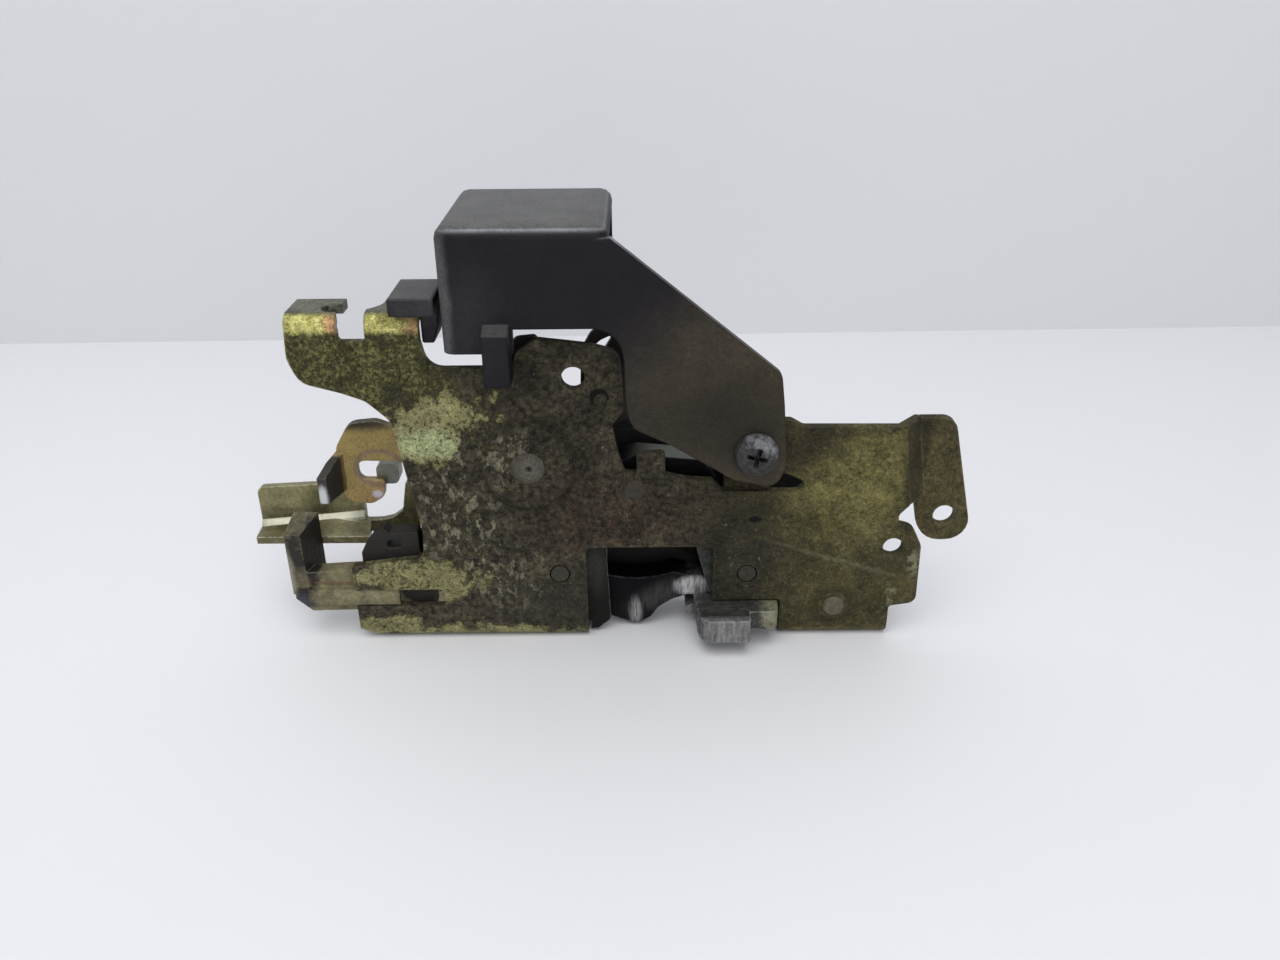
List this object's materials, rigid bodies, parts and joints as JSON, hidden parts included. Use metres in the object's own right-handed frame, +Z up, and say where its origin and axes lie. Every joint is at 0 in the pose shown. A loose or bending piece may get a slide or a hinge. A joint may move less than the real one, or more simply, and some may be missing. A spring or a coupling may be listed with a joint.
{
  "type": "car door lock",
  "caption": "Side-door lock with a forked claw, sprung pawl, stacked levers on one pivot, a sliding lock catch and a plastic hood on a stamped plate.",
  "frame": {"origin": "middle of the bounding box seen from above, on the surface that the bottom flange stands on", "axes": "+X to the right along the lock plate as seen from its front, +Y from the plate's front face to the back, +Z up towards the hood"},
  "size_m": [0.159, 0.0426, 0.0936],
  "materials": {
    "olive_chromate": "olive-yellow chromate plating, worn and greasy",
    "gold_chromate": "iridescent gold chromate plating",
    "dark_steel": "blue-black oiled steel with worn edges",
    "bare_steel": "bare steel, worn smooth",
    "grey_zinc": "dull grey zinc plating",
    "spring_steel": "drawn spring wire",
    "black_plastic": "moulded black plastic, dusty",
    "stained_nylon": "natural nylon stained brown by grease",
    "white_nylon": "translucent white nylon"
  },
  "bodies": {
    "frame": {"lock_plate": "olive_chromate", "striker_guide": "grey_zinc", "guide_pin_left": "grey_zinc", "guide_pin_right": "grey_zinc", "claw_pin": "bare_steel", "pawl_pin": "bare_steel", "main_pivot": "bare_steel", "lock_stud": "bare_steel", "rear_case": "black_plastic", "back_plate": "olive_chromate", "hood": "black_plastic", "hood_screw": "grey_zinc", "hood_nut": "grey_zinc", "rod_clip": "black_plastic", "claw_spring": "spring_steel", "pawl_spring": "spring_steel", "release_spring": "spring_steel"},
    "claw": {"claw": "dark_steel"},
    "pawl": {"pawl": "bare_steel"},
    "release_lever": {"release_lever": "gold_chromate", "rod_bush": "white_nylon"},
    "inside_lever": {"inside_lever": "olive_chromate"},
    "outside_lever": {"outside_lever": "dark_steel"},
    "lock_slide": {"lock_slide": "stained_nylon"},
    "lock_lever": {"lock_lever": "black_plastic"}
  },
  "joints": [
    {"name": "claw_turn", "type": "hinge", "parent": "frame", "child": "claw", "pos_m": [0.0065, -0.00565, 0.0373], "axis": [0, 1, 0], "range_deg": [0, 42]},
    {"name": "inside_turn", "type": "hinge", "parent": "frame", "child": "inside_lever", "pos_m": [-0.0159, 0.003, 0.0429], "axis": [0, 1, 0], "range_deg": [0, 10], "stiffness_Nm_per_rad": 0.1, "springref_deg": -8.59},
    {"name": "release_turn", "type": "hinge", "parent": "frame", "child": "release_lever", "pos_m": [-0.0159, 0.0009, 0.0429], "axis": [0, 1, 0], "range_deg": [0, 10]},
    {"name": "pawl_turn", "type": "hinge", "parent": "frame", "child": "pawl", "pos_m": [0.0505, -0.00615, 0.0078], "axis": [0, 1, 0], "range_deg": [-5, 0], "stiffness_Nm_per_rad": 0.05, "springref_deg": 8.59},
    {"name": "outside_turn", "type": "hinge", "parent": "frame", "child": "outside_lever", "pos_m": [-0.0159, -0.0012, 0.0429], "axis": [0, 1, 0], "range_deg": [-10, 0], "stiffness_Nm_per_rad": 0.05, "springref_deg": 8.59},
    {"name": "slide_travel", "type": "slide", "parent": "frame", "child": "lock_slide", "axis": [1, 0, 0], "range_m": [0, 0.008]},
    {"name": "lock_turn", "type": "hinge", "parent": "frame", "child": "lock_lever", "pos_m": [-0.0325, -0.0056, 0.03], "axis": [0, 1, 0], "range_deg": [-28.07, 0]}
  ],
  "couplings": [
    {"joint": "release_turn", "follows": "inside_turn", "ratio": 1},
    {"joint": "pawl_turn", "follows": "inside_turn", "ratio": -0.5},
    {"joint": "lock_turn", "follows": "slide_travel", "rad_per_m": -61.2}
  ]
}
